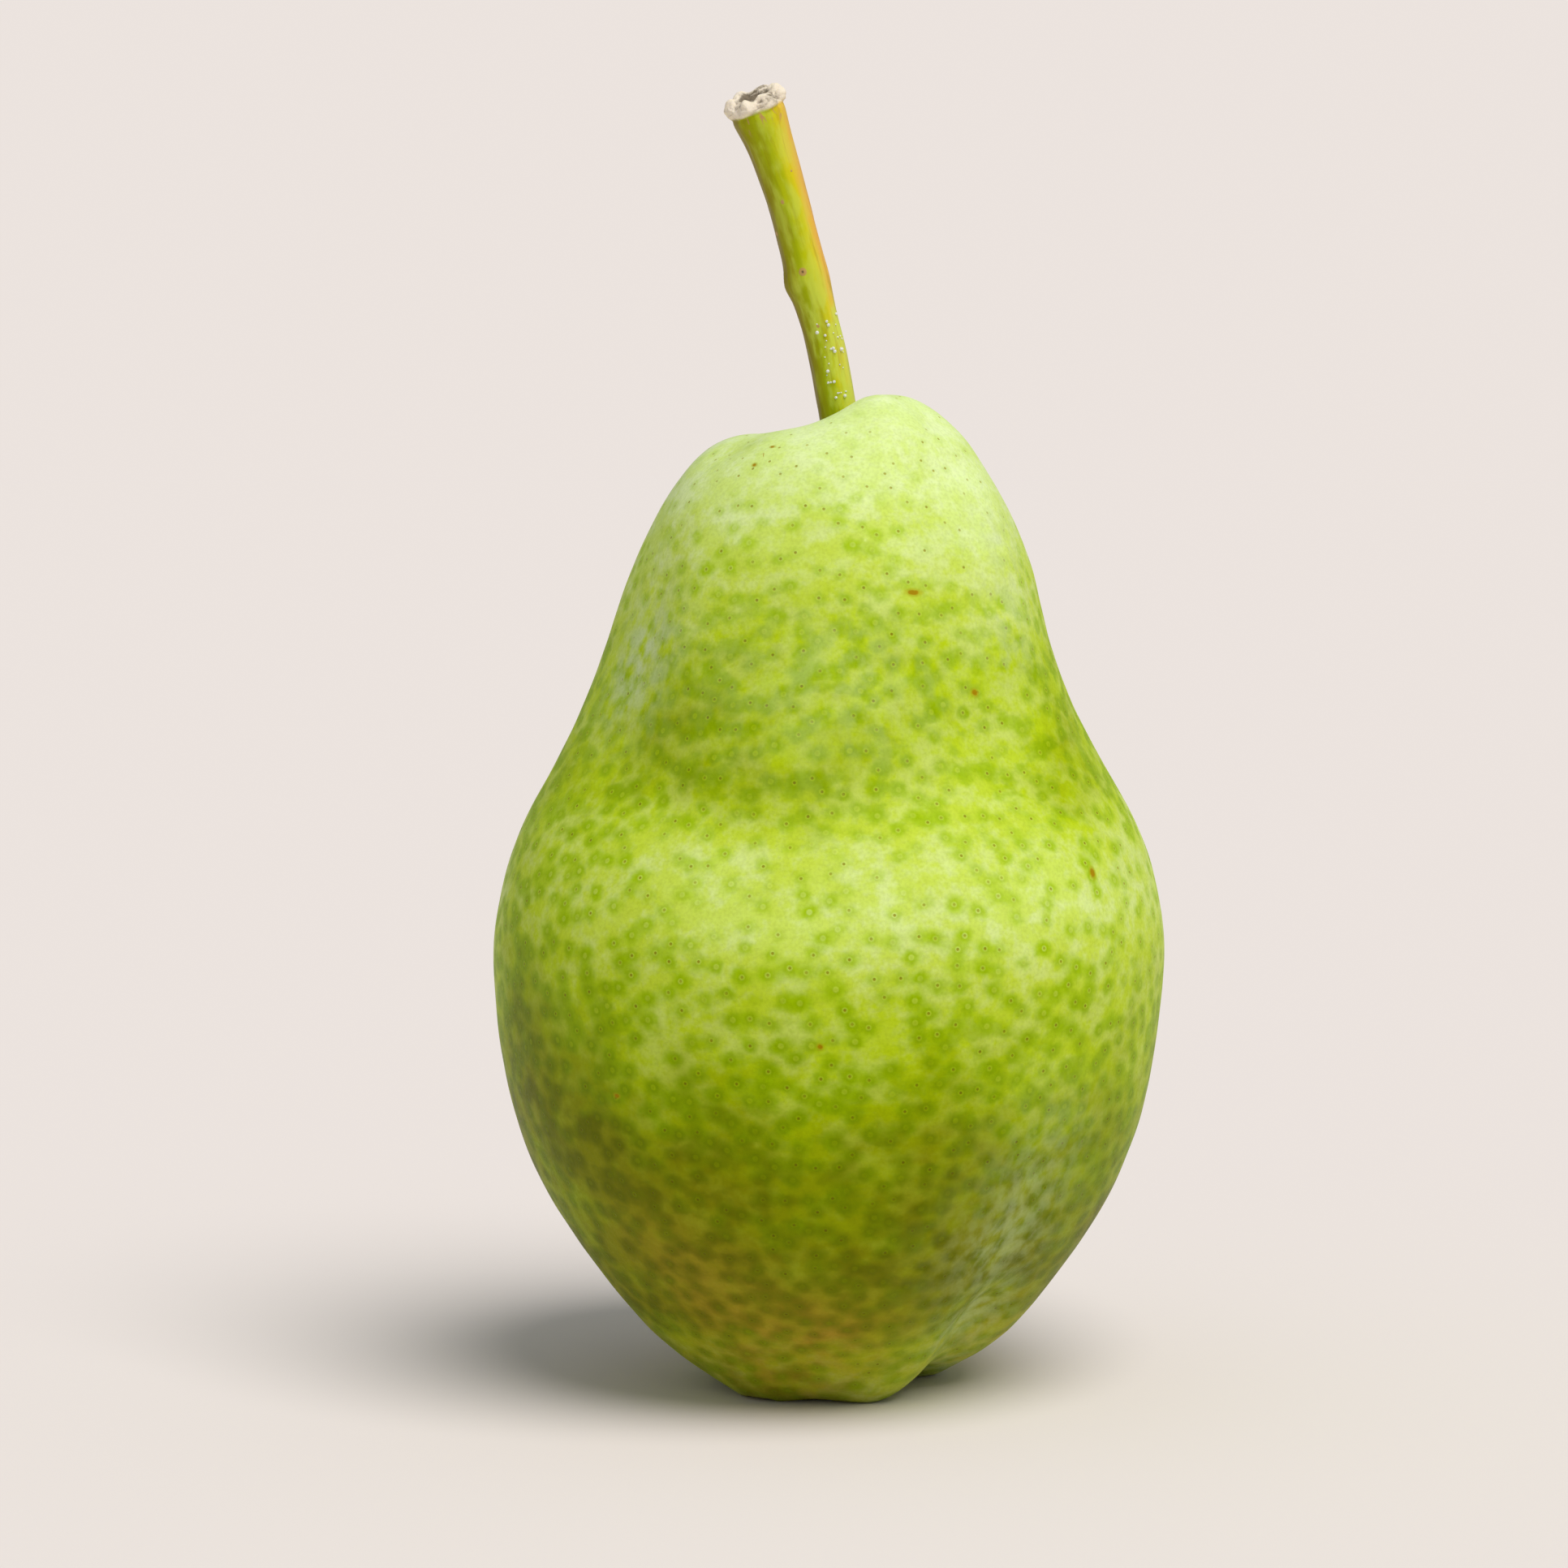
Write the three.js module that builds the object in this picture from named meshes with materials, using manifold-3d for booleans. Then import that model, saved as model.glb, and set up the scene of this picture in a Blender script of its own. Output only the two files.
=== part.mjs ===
// A green European pear, as picked: the fruit, its stem and the dried calyx in the hollow underneath.
// Millimetres, +Z up, standing on the flat spots of its base lobes at z = 0. Its front faces -Y.
import * as THREE from "three";
import { mergeVertices } from "three/addons/utils/BufferGeometryUtils.js";
import Module from "manifold-3d";

const wasm = await Module();
wasm.setup();

// Driving dimensions
const BELLY_RADIUS = 36;
const SHOULDER_HEIGHT = 103.1;
const STEM_RADIUS = 2.1;
const CALYX_RADIUS = 2.3;
const GAP = 0.3;

// Fineness of the facets
const FRUIT_SIDES = 72;
const FRUIT_ROWS_PER_SPAN = 2;
const STEM_SIDES = 18;
const STEM_ROWS_PER_SPAN = 2;
const SEPAL_SIDES = 8;
const WELD = 1e-3;

// Half of the fruit's outline from the calyx hollow, over the belly and the neck, into the stem hollow.
// Each point is [share of BELLY_RADIUS, share of SHOULDER_HEIGHT].
const FRUIT_OUTLINE = [
  [0, 0.065], [0.09, 0.063], [0.14, 0.045], [0.21, 0.019], [0.29, 0.0125], [0.39, 0.02], [0.547, 0.06],
  [0.695, 0.125], [0.826, 0.195], [0.913, 0.264], [0.969, 0.34], [1, 0.45], [0.982, 0.518], [0.924, 0.586],
  [0.82, 0.653], [0.726, 0.721], [0.65, 0.789], [0.59, 0.856], [0.506, 0.924], [0.4, 0.975],
  [0.29, 0.997], [0.19, 1], [0.125, 0.991], [0.08, 0.976], [0, 0.968],
];

// Swellings (positive rise) and hollows (negative rise) of the flesh. Each runs from one place to
// another and fades with its reach. A place is [radius, degrees round from +X, height].
const SWELLS = [
  // fleshy hump that leans on the stem, and the lower rim behind it
  { from: [7.6, -46, 103], to: [8, -26, 103], reach: 4.2, rise: 4 },
  { from: [8, 70, 103], to: [8, 120, 103], reach: 5, rise: -1.3 },
  // right shoulder, the ridge that runs down the neck from it, and the slack left shoulder
  { from: [18, -16, 97], to: [20, -10, 90], reach: 6, rise: 0.6 },
  { from: [21.5, -32, 92], to: [25, -34, 78], reach: 3.5, rise: 0.6 },
  { from: [17, 186, 96], to: [20, 190, 89], reach: 5, rise: -0.6 },
  // crease where the tongue of the neck ends in front, low in the middle and higher at both sides
  { from: [28.5, -140, 67], to: [30.5, -110, 60], reach: 5.5, rise: -1.7 },
  { from: [30.5, -90, 59.5], to: [28, -50, 68], reach: 5.5, rise: -1.7 },
  // shelf of the belly under it
  { from: [34, -125, 49], to: [35, -50, 51], reach: 9, rise: 0.7 },
  // shallow flats on the left of the neck and the right of the waist
  { from: [23, -152, 84], to: [26, -146, 76], reach: 5.5, rise: -0.5 },
  { from: [25, 2, 78], to: [27, -8, 72], reach: 5, rise: -0.4 },
  // furrow that runs from the lower right of the belly into the base
  { from: [33, -45, 25], to: [22, -41, 9], reach: 4.5, rise: -1.1 },
  { from: [22, -41, 9], to: [10, -26, 0], reach: 3, rise: -2 },
  // trough above the base lobes in front
  { from: [18.5, -135, 6], to: [18.5, -100, 6], reach: 3, rise: -0.7 },
  { from: [18.5, -100, 6], to: [18.5, -70, 6], reach: 3, rise: -0.7 },
  // lumps and hollows of the back
  { from: [35, 62, 44], to: [35, 50, 53], reach: 12, rise: 1.1 },
  { from: [28, 128, 69], to: [27, 95, 71], reach: 8, rise: -1.3 },
  { from: [20, 150, 91], to: [22, 160, 85], reach: 7, rise: 0.8 },
  { from: [31, 115, 22], to: [14, 116, 3], reach: 4, rise: -1.3 },
  { from: [33, 172, 28], to: [35, 178, 38], reach: 10, rise: 0.5 },
];

// Lobes round the calyx hollow that the fruit stands on, as [radius, degrees round from +X].
const BASE_LOBES = [[10.6, -129], [9.6, -66], [9.4, 18], [9.4, 84], [9.8, 150]];
const LOBE_REACH = 3.7;
const LOBE_DROP = 1.9;

// Middle line of the stem from its root in the flesh to its broken end, and its thickness along the way.
// Each thickness is [share of STEM_RADIUS, share of the length].
const STEM_LINE = [
  [2.3, 0.9, 96], [1.6, 0.4, 100.5], [0.8, -0.1, 105], [-0.35, -0.9, 111.3], [-2.2, -1.9, 118.3],
  [-4.5, -3.1, 127.2], [-6.8, -4.2, 134.2], [-8.4, -4.9, 138.3],
];
const STEM_THICKNESS = [
  [0, 0], [0.9, 0.004], [1.02, 0.1], [1, 0.26], [1, 0.4], [1.03, 0.47], [1.13, 0.535], [1.07, 0.6],
  [1.06, 0.7], [1.12, 0.81], [1.23, 0.89], [1.4, 0.945], [1.36, 0.958], [1.52, 0.974], [1.4, 0.995],
  [1, 1], [0.5, 0.99], [0, 0.984],
];
const SCAR_START = 0.95;
const SCAR_LOBES = 7;
const SCAR_LOBE_DEPTH = 0.1;
const SCAR_SLOPE = 0.16;
const ROOT_END = 0.01;

// Dried calyx: a small disc in the hollow with five bent sepals. The disc's outline is in
// [share of CALYX_RADIUS, share of CALYX_THICKNESS], the sepal's in [share of half width, share of length].
const CALYX_TOP = SHOULDER_HEIGHT * FRUIT_OUTLINE[1][1] - GAP;
const CALYX_THICKNESS = 1.1;
const CALYX_OUTLINE = [[0, 0.27], [0.45, 0], [0.85, 0.09], [1, 0.5], [0.8, 1], [0, 1]];
const SEPAL_OUTLINE = [[0, 0], [0.75, 0.06], [1, 0.35], [0.72, 0.7], [0, 1]];
const SEPAL_ROWS_PER_SPAN = 2;
const SEPAL_COUNT = 5;
const SEPAL_ROOT_RADIUS = 0.8;
const SEPAL_LENGTH = 4.6;
const SEPAL_HALF_WIDTH = 1.35;
const SEPAL_HALF_THICKNESS = 0.38;
const SEPAL_CURL = 1.25;

// Place given as radius, degrees round from +X, and height
function place([radius, degrees, height]) {
  const angle = THREE.MathUtils.degToRad(degrees);
  return new THREE.Vector3(radius * Math.cos(angle), radius * Math.sin(angle), height);
}

// Smooth outline through [radius, height] points, with a few rows for each span between them
function smoothOutline(points, rowsPerSpan) {
  const curve = new THREE.SplineCurve(points.map(([radius, height]) => new THREE.Vector2(radius, height)));
  const outline = curve.getPoints((points.length - 1) * rowsPerSpan);
  outline.forEach((point) => point.setX(Math.max(point.x, 0)));
  return outline;
}

// Geometry with one vertex at each corner, no collapsed triangles, and smooth normals
function welded(geometry) {
  const bare = new THREE.BufferGeometry().setAttribute("position", geometry.getAttribute("position"));
  const merged = mergeVertices(bare.setIndex(geometry.index), WELD);
  const corners = merged.index.array;
  const kept = [];
  for (let i = 0; i < corners.length; i += 3) {
    const [a, b, c] = corners.slice(i, i + 3);
    if (a !== b && b !== c && c !== a) kept.push(a, b, c);
  }
  merged.setIndex(kept).computeVertexNormals();
  return merged;
}

// Body turned about +Z from an outline
function turned(outline, sides) {
  return welded(new THREE.LatheGeometry(outline, sides).rotateX(Math.PI / 2));
}

// Moves every point of a geometry by a function of the point and its normal
function reshape(geometry, move) {
  const points = geometry.getAttribute("position");
  const normals = geometry.getAttribute("normal");
  const point = new THREE.Vector3();
  const normal = new THREE.Vector3();
  for (let i = 0; i < points.count; i++) {
    point.fromBufferAttribute(points, i);
    normal.fromBufferAttribute(normals, i);
    move(point, normal);
    points.setXYZ(i, point.x, point.y, point.z);
  }
  return geometry;
}

// Welded geometry as a solid that can be joined and cut
function solidOf(geometry) {
  return new wasm.Manifold(new wasm.Mesh({
    numProp: 3,
    vertProperties: new Float32Array(geometry.getAttribute("position").array),
    triVerts: new Uint32Array(geometry.index.array),
  }));
}

// Solid as a named mesh with its material
function meshOf(name, solid, material) {
  const { vertProperties, triVerts } = solid.getMesh();
  const geometry = new THREE.BufferGeometry();
  geometry.setAttribute("position", new THREE.BufferAttribute(new Float32Array(vertProperties), 3));
  geometry.setIndex(new THREE.BufferAttribute(new Uint32Array(triVerts), 1));
  geometry.computeVertexNormals();
  const mesh = new THREE.Mesh(geometry, material);
  mesh.name = name;
  return mesh;
}

// Every swell of the flesh as a line with its reach and rise; a base lobe is a line of no length
const swellLines = SWELLS.map(({ from, to, reach, rise }) => (
  { line: new THREE.Line3(place(from), place(to)), reach, rise }
));
const lobeLines = BASE_LOBES.map(([radius, degrees]) => {
  const lowest = place([radius, degrees, 0]);
  return { line: new THREE.Line3(lowest, lowest), reach: LOBE_REACH, rise: LOBE_DROP };
});

// How far the flesh stands out of the plain turned body at a point
function swelling(point) {
  const nearest = new THREE.Vector3();
  return [...swellLines, ...lobeLines].reduce((sum, { line, reach, rise }) => {
    const distance = line.closestPointToPoint(point, true, nearest).distanceTo(point);
    return sum + rise * Math.exp(-0.5 * (distance / reach) ** 2);
  }, 0);
}

function fruitSolid() {
  const points = FRUIT_OUTLINE.map(([r, h]) => [r * BELLY_RADIUS, h * SHOULDER_HEIGHT]);
  const flesh = turned(smoothOutline(points, FRUIT_ROWS_PER_SPAN), FRUIT_SIDES);
  reshape(flesh, (point, normal) => point.addScaledVector(normal, swelling(point)));
  const width = 2 * BELLY_RADIUS;
  const below = welded(new THREE.BoxGeometry(width, width, width).translate(0, 0, -BELLY_RADIUS));
  return solidOf(flesh).subtract(solidOf(below)).subtract(stemSolid(GAP));
}

// The stem, or with a clearance the hole that it stands in
function stemSolid(clearance = 0) {
  const line = new THREE.CatmullRomCurve3(STEM_LINE.map((p) => new THREE.Vector3(...p)));
  const length = line.getLength();
  const profile = STEM_THICKNESS.map(([r, l]) => [r * STEM_RADIUS, l * length]);
  const stem = turned(smoothOutline(profile, STEM_ROWS_PER_SPAN), STEM_SIDES);
  const acrossStart = new THREE.Vector3(1, 0, 0);
  reshape(stem, (point) => {
    const share = THREE.MathUtils.clamp(point.z / length, 0, 1);
    const along = line.getTangentAt(share);
    const side = new THREE.Vector3().crossVectors(along, acrossStart).normalize();
    const across = new THREE.Vector3().crossVectors(side, along);
    const scar = THREE.MathUtils.smoothstep(share, SCAR_START, 1);
    const lobes = 1 + scar * SCAR_LOBE_DEPTH * Math.cos(SCAR_LOBES * Math.atan2(point.y, point.x));
    const spread = lobes + clearance / STEM_RADIUS;
    const deeper = share < ROOT_END ? clearance : 0;
    const { x, y, z } = point;
    point.copy(line.getPointAt(share));
    point.addScaledVector(across, x * spread);
    point.addScaledVector(side, y * spread);
    point.addScaledVector(along, z - share * length - deeper + scar * SCAR_SLOPE * y);
  });
  return solidOf(stem);
}

// One sepal: a flat pointed spindle, bent outwards and down from the rim of the disc
function sepalSolid(turn) {
  const sepal = turned(smoothOutline(SEPAL_OUTLINE, SEPAL_ROWS_PER_SPAN), SEPAL_SIDES);
  const bendRadius = SEPAL_LENGTH / SEPAL_CURL;
  reshape(sepal, (point) => {
    const bend = SEPAL_CURL * point.z;
    const lift = point.y * SEPAL_HALF_THICKNESS;
    const outwards = (bendRadius + lift) * Math.sin(bend);
    const upwards = (bendRadius + lift) * Math.cos(bend) - bendRadius;
    point.set(outwards, point.x * SEPAL_HALF_WIDTH, upwards);
  });
  sepal.translate(SEPAL_ROOT_RADIUS, 0, CALYX_TOP - CALYX_THICKNESS / 2).rotateZ(turn);
  return solidOf(sepal);
}

function calyxSolid() {
  const outline = CALYX_OUTLINE.map(([r, h]) => new THREE.Vector2(r * CALYX_RADIUS, h * CALYX_THICKNESS));
  const disc = turned(outline, 2 * SEPAL_COUNT).translate(0, 0, CALYX_TOP - CALYX_THICKNESS);
  const turns = Array.from({ length: SEPAL_COUNT }, (_, i) => (2 * Math.PI * (i + 0.5)) / SEPAL_COUNT);
  return turns.reduce((sum, turn) => sum.add(sepalSolid(turn)), solidOf(disc));
}

const skin = new THREE.MeshStandardMaterial({ color: 0xa3bf2e, roughness: 0.45, metalness: 0 });
const bark = new THREE.MeshStandardMaterial({ color: 0xa9a51c, roughness: 0.6, metalness: 0 });
const dried = new THREE.MeshStandardMaterial({ color: 0x5a4328, roughness: 0.85, metalness: 0 });

const pear = new THREE.Group();
pear.add(
  meshOf("fruit", fruitSolid(), skin),
  meshOf("stem", stemSolid(), bark),
  meshOf("calyx", calyxSolid(), dried),
);

// The part's origin is under the middle of the pear, on the surface that it stands on.
const box = new THREE.Box3().setFromObject(pear);
const centre = box.getCenter(new THREE.Vector3());
pear.position.set(-centre.x, -centre.y, -box.min.z);

const part = new THREE.Group();
part.add(pear);

export default part;
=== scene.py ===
# A green pear on a pale floor: skin with lenticels, a streaked stem with a corky end, a dried calyx.
# Names that end in _MM are in millimetres; other lengths are in metres. Pixels are the photograph's.
import math

import bmesh
import bpy
import numpy as np
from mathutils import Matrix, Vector, noise
from mathutils.bvhtree import BVHTree
from mathutils.kdtree import KDTree


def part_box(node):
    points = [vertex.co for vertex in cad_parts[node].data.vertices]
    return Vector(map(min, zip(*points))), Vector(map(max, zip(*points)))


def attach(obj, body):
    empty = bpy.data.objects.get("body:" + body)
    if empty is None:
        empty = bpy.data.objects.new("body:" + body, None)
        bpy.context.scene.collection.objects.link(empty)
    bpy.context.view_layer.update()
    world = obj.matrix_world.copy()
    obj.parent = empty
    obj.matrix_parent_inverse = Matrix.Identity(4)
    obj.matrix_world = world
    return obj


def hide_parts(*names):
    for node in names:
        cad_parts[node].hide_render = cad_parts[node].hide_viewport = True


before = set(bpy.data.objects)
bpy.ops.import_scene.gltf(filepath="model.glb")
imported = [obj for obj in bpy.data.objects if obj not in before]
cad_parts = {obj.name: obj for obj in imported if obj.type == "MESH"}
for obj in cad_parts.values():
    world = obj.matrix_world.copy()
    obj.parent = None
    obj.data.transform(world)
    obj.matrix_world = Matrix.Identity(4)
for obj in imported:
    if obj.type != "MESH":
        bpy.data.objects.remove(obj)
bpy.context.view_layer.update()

MM = 0.001
SEED = 7
rng = np.random.default_rng(SEED)

# View of the photograph
FRAME_PIXELS = 1932
BELLY_MM = 72
BELLY_PIXELS = 825
PIXEL = BELLY_MM / BELLY_PIXELS * MM
AIM = Vector((-4.8, 0, 65.1)) * MM
CAMERA_DISTANCE = 520 * MM
CAMERA_ELEVATION = math.radians(5)
SENSOR_WIDTH_MM = 36
VIEW_BACK = Vector((0, -math.cos(CAMERA_ELEVATION), math.sin(CAMERA_ELEVATION)))
VIEW_UP = Vector((0, math.sin(CAMERA_ELEVATION), math.cos(CAMERA_ELEVATION)))
VIEW_RIGHT = Vector((1, 0, 0))
CAMERA_PLACE = AIM + CAMERA_DISTANCE * VIEW_BACK

# How the solids' meshes are made ready: welding, the steepest fold inside a quad, and rounds of smoothing
WELD = 0.002 * MM
QUAD_FOLD = math.radians(50)
FLESH_SUBDIVISIONS = 2
STEM_SUBDIVISIONS = 3
CALYX_SUBDIVISIONS = 2

# The fruit's skin: cells along each side of its cube, the point that they are cast from, and the reach round
# the stem that belongs to its hole
FRUIT_CELLS = 124
FRUIT_HEART = Vector((0, 0, 54)) * MM
FRUIT_STRETCH = 1.25
SOCKET_REACH = 0.45 * MM
STEM_DIMPLE_MM = 0.5
STEM_DIMPLE_REACH_MM = 1.2
# Rows for noise are (size in mm, height, offset of the noise); the lumps set in between two heights
LUMPS_MM = [(9, 0.13, 0), (3.4, 0.05, 0)]
LUMPS_SET_IN_MM = (0.6, 5)

# Lenticels: spacing, halo radius, and how lush (dark halos) and pale the skin is by height in mm, which mixes
# the skin's own tones with painted light and shade
LENTICEL_SPACING_MM = 1.6
LENTICEL_COUNT = 2900
LENTICEL_TRIES = 4 * LENTICEL_COUNT
HALO_RADIUS_MM = (1.15, 1.75)
HALO_SIZE_BY_HEIGHT = [(0, 1), (46, 1), (60, 0.92), (90, 0.8)]
# Painted shade in part: the lower belly and the neck's lower part are made lusher and darker where shade
# falls
LUSH_AND_SHADE_BY_HEIGHT = [
    (0, 0.6), (14, 0.85), (34, 0.8), (46, 0.66), (54, 0.54), (60, 0.62), (74, 0.76), (88, 0.52), (98, 0.2),
    (107, 0.06),
]
LUSH_LUMPS = [(9, 0.22, 3.1), (4, 0.16, 8.7)]
# Painted light and shade in part: paler towards the top, on the shelf under the neck and at the base, and
# darker on the lower belly
PALE_AND_SHADING_BY_HEIGHT = [
    (0, 0.6), (7, 0.3), (11, 0.08), (16, 0.02), (26, 0.11), (34, 0.23), (46, 0.5), (54, 0.66), (60, 0.57),
    (66, 0.4), (74, 0.35), (80, 0.39), (88, 0.61), (99, 0.94), (107, 1),
]
PALE_LUMPS = [(14, 0.12, 5.5)]
PALE_LOST_TO_LUSH_AND_SHADE = 0.4
# How strong the green mottles between the halos are
MOTTLE_BY_HEIGHT = [
    (0, 0.52), (42, 0.52), (46, 0.38), (50, 0.16), (54, 0.12), (60, 0.18), (63, 0.45), (66, 0.66), (82, 0.66),
    (86, 0.45), (92, 0.22), (100, 0.1),
]
# How dark the middle of a halo is, and how bright the rim round its lenticel
CORE_BY_HEIGHT = [
    (0, 0.7), (40, 0.75), (54, 0.6), (62, 0.42), (68, 0.3), (80, 0.24), (88, 0.14), (100, 0.05),
]
RIM_BY_HEIGHT = [(0, 0.25), (30, 0.45), (46, 0.8), (56, 1), (64, 0.8), (72, 0.8), (88, 0.7), (100, 0.5)]
# Strength of a halo beyond its lushness, how far it varies, its limits, and the share of lenticels with
# faint dots
HALO_BASE = 0.12
HALO_VARIES = 0.4
HALO_LIMITS = (0.1, 0.95)
FAINT_SHARE = 0.35
FAINT_DOT = 0.12

# Patches of the skin at pixels of the photograph: (column, row, reach in mm, amount)
# Painted shade and light in part: the dark patches on the left flank, on the neck's tongue and in the fold
# under it are painted shade, and the lighter ones along the shelf below the fold are painted light
LUSH_AND_SHADE_PATCHES = [
    (740, 1080, 7, 0.15), (655, 1200, 9, 0.32), (650, 1300, 11, 0.36), (720, 1430, 9, 0.12),
    (880, 890, 6, 0.12), (930, 975, 4, 0.24), (1030, 940, 4, 0.2), (1120, 880, 5, 0.15),
    (930, 740, 5, 0.18), (1080, 780, 5, 0.1), (1210, 680, 5, -0.25), (1200, 790, 4, -0.15),
    (840, 790, 4, -0.12), (1230, 900, 3.5, -0.25), (1160, 990, 4, -0.2), (1060, 1040, 4, -0.18),
    (800, 1040, 4, -0.22), (900, 1060, 4, -0.15), (1270, 1080, 7, -0.1), (1000, 1090, 7, -0.1),
]
# Low relief of the skin on the front in the same form, with the amount in mm: the fold under the neck's
# tongue, the tongue, the ridge on the neck's right, the furrow on its left, the two shoulders beside the
# stem and the furrow at the lower right
RELIEF_PATCHES = [
    (820, 990, 2.8, -0.4), (900, 1012, 2.8, -0.7), (980, 1015, 2.8, -0.7), (1060, 1000, 2.8, -0.6),
    (1130, 968, 2.8, -0.45), (1190, 915, 3, -0.3), (950, 925, 6, 0.7), (1060, 900, 5, 0.25),
    (1215, 620, 2.4, 0.2), (1235, 700, 2.4, 0.25), (1250, 780, 2.4, 0.25),
    (815, 720, 2.6, -0.25), (800, 780, 2.6, -0.3), (780, 840, 2.6, -0.3),
    (1150, 508, 2.6, -1), (897, 548, 2.6, -1),
    (1275, 1440, 2.6, -0.3), (1240, 1530, 2.6, -0.45), (1195, 1620, 2.4, -0.45), (1155, 1690, 2.2, -0.3),
]
BLOOM_PATCHES = [
    (800, 780, 4, 0.8), (775, 850, 3.5, 0.6), (1232, 660, 3, 0.35), (1245, 730, 3.4, 0.4),
    (1245, 800, 3, 0.35), (980, 830, 8, 0.18), (1100, 850, 7, 0.16), (1290, 1420, 5, 0.28),
    (1240, 1530, 5, 0.44), (1190, 1620, 4, 0.55), (1150, 1690, 4, 0.6),
]
# Painted bounce light and shade in part: the brownish band low on the front stands for warm light bounced up
# onto the fruit and the shade in the dip above the base
BROWN_AND_BOUNCE_PATCHES = [
    (820, 1540, 5, 0.3), (880, 1600, 5, 0.5), (980, 1637, 4.5, 0.6), (1060, 1640, 4, 0.5),
    (960, 1710, 6, 0.55),
]
# The same on the back, which the photograph doesn't show: (degrees round from +X, height and reach in mm,
# amount)
LUSH_BEHIND = [
    (60, 30, 12, 0.12), (95, 56, 9, 0.25), (150, 48, 9, 0.2), (40, 78, 7, -0.2), (120, 86, 7, 0.22),
]
BLOOM_BEHIND = [
    (115, 18, 6, 0.5), (110, 30, 6, 0.35), (70, 84, 6, 0.35), (160, 74, 6, 0.35), (30, 40, 8, 0.2),
]
BROWN_BEHIND = [(20, 8, 7, 0.5), (75, 7, 6, 0.6), (130, 9, 7, 0.55), (180, 8, 6, 0.5), (-25, 7, 5, 0.4)]
# Brown of the base, the heights over which it fades, and the noise that makes its edge uneven
BROWN_BASE = 0.3
BROWN_FADES_MM = (4, 12)
BROWN_EDGE_MM = [(6, 2, 0)]
# Rust marks: (column, row, half width in mm, half height in mm)
RUST_MARKS = [
    (1126, 730, 0.75, 0.3), (1201, 853, 0.38, 0.36), (1346, 1076, 0.42, 0.5), (952, 550, 0.3, 0.2),
    (930, 573, 0.26, 0.22), (1010, 1290, 0.3, 0.3), (760, 1350, 0.35, 0.25),
]
FAR_AWAY = 9

# Middle line of the stem as in the solids, from the fruit's axis, and the line's place in the part
STEM_LINE_MM = [
    (2.3, 0.9, 96), (1.6, 0.4, 100.5), (0.8, -0.1, 105), (-0.35, -0.9, 111.3), (-2.2, -1.9, 118.3),
    (-4.5, -3.1, 127.2), (-6.8, -4.2, 134.2), (-8.4, -4.9, 138.3),
]
STEM_SHIFT_MM = (0.15, -0.02, 0)
STEM_LENGTH_MM = 44
STEM_SAMPLES = 400
# Its lengthwise fibres as (turns of noise, height) with their turns along the stem, and the swollen bud scar
# on its left at a share of its length
FIBRES_MM = [(2.6, 0.07), (6, 0.035)]
FIBRE_TURNS_ALONG = 3
BUD_SHARE = 0.535
BUD_LENGTH = 0.03
BUD_HEIGHT_MM = 0.4
BUD_SIDE = (-0.85, -0.5, 0)
# Its broken end: shares of the length over which the cork sets in, its rim, its lobes and lumps, and its
# crevices
CORK_SETS_IN = (0.954, 0.97)
CORK_RIM_MM = (1.2, 2.2)
CORK_LOBES = 6
CORK_LOBE_MM = 0.2
CORK_LOBE_SWAY = [(2, 2, 0)]
CORK_LUMPS_MM = [(1.3, 0.28, 2.3), (0.6, 0.18, 2.3), (0.3, 0.08, 2.3)]
CREVICE_BASE = 0.5
CREVICE_PER_LUMP = 1.6
CREVICE_INSIDE_RIM = 0.5
# Its lenticels as (column, row, radius in mm)
STEM_LENTICELS = [(989, 335, 0.42), (964, 249, 0.22), (957, 288, 0.24), (1008, 402, 0.18), (975, 210, 0.16)]
# Dew on the lower stem: count, share of the length, radius, how far small beads prevail, the side that it
# lies on and how far round, and how far a bead's middle stands out of the bark, in radii
DEW_COUNT = 36
DEW_SHARE = (0.21, 0.45)
DEW_RADIUS_MM = (0.08, 0.24)
DEW_SMALLNESS = 3
DEW_SIDE = (0.45, -0.89, 0)
DEW_SPREAD = math.cos(math.radians(41))
DEW_STANDS_OUT = 0.3

# Dried calyx: unevenness of its sepals, and the stamens: how deep they root in its height, the ring that they
# root on, how unevenly they stand round it, their lean, their taper and the knob near the tip
CALYX_LUMPS_MM = [(1.2, 0.16, 4.4), (0.45, 0.07, 4.4)]
STAMEN_COUNT = 18
STAMEN_RADIUS_MM = 0.13
STAMEN_LENGTH_MM = (1.4, 2.4)
STAMEN_ROOT_DEPTH = 0.3
STAMEN_RING_MM = (0.5, 1.2)
STAMEN_UNEVEN = 0.6
STAMEN_LEAN = (0.25, 0.75)
STAMEN_TAPER = 0.55
STAMEN_KNOB = 0.9
STAMEN_SIDES = 7
STAMEN_STEPS = 8


def srgb(red, green, blue):
    """Linear colour of an 8-bit one"""
    shares = [c / 255 for c in (red, green, blue)]
    return (*[s / 12.92 if s <= 0.04045 else ((s + 0.055) / 1.055) ** 2.4 for s in shares], 1)


# Tones of the skin from lush to pale: (place on the ramp, colour)
GROUND_TONES = [
    (0, srgb(130, 134, 2)), (0.25, srgb(162, 182, 2)), (0.4, srgb(184, 208, 22)), (0.55, srgb(196, 217, 64)),
    (0.75, srgb(206, 228, 102)), (1, srgb(222, 242, 160)),
]
CLOUD_TONES = [(0, srgb(156, 160, 36)), (0.5, srgb(206, 223, 118)), (1, srgb(230, 246, 182))]
HALO_TONES = [
    (0, srgb(104, 110, 0)), (0.25, srgb(136, 164, 0)), (0.5, srgb(158, 191, 0)), (0.75, srgb(171, 204, 12)),
    (1, srgb(192, 220, 90)),
]
CORE_TONES = [(0, srgb(84, 98, 0)), (0.35, srgb(106, 138, 0)), (0.7, srgb(130, 165, 0))]
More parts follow.
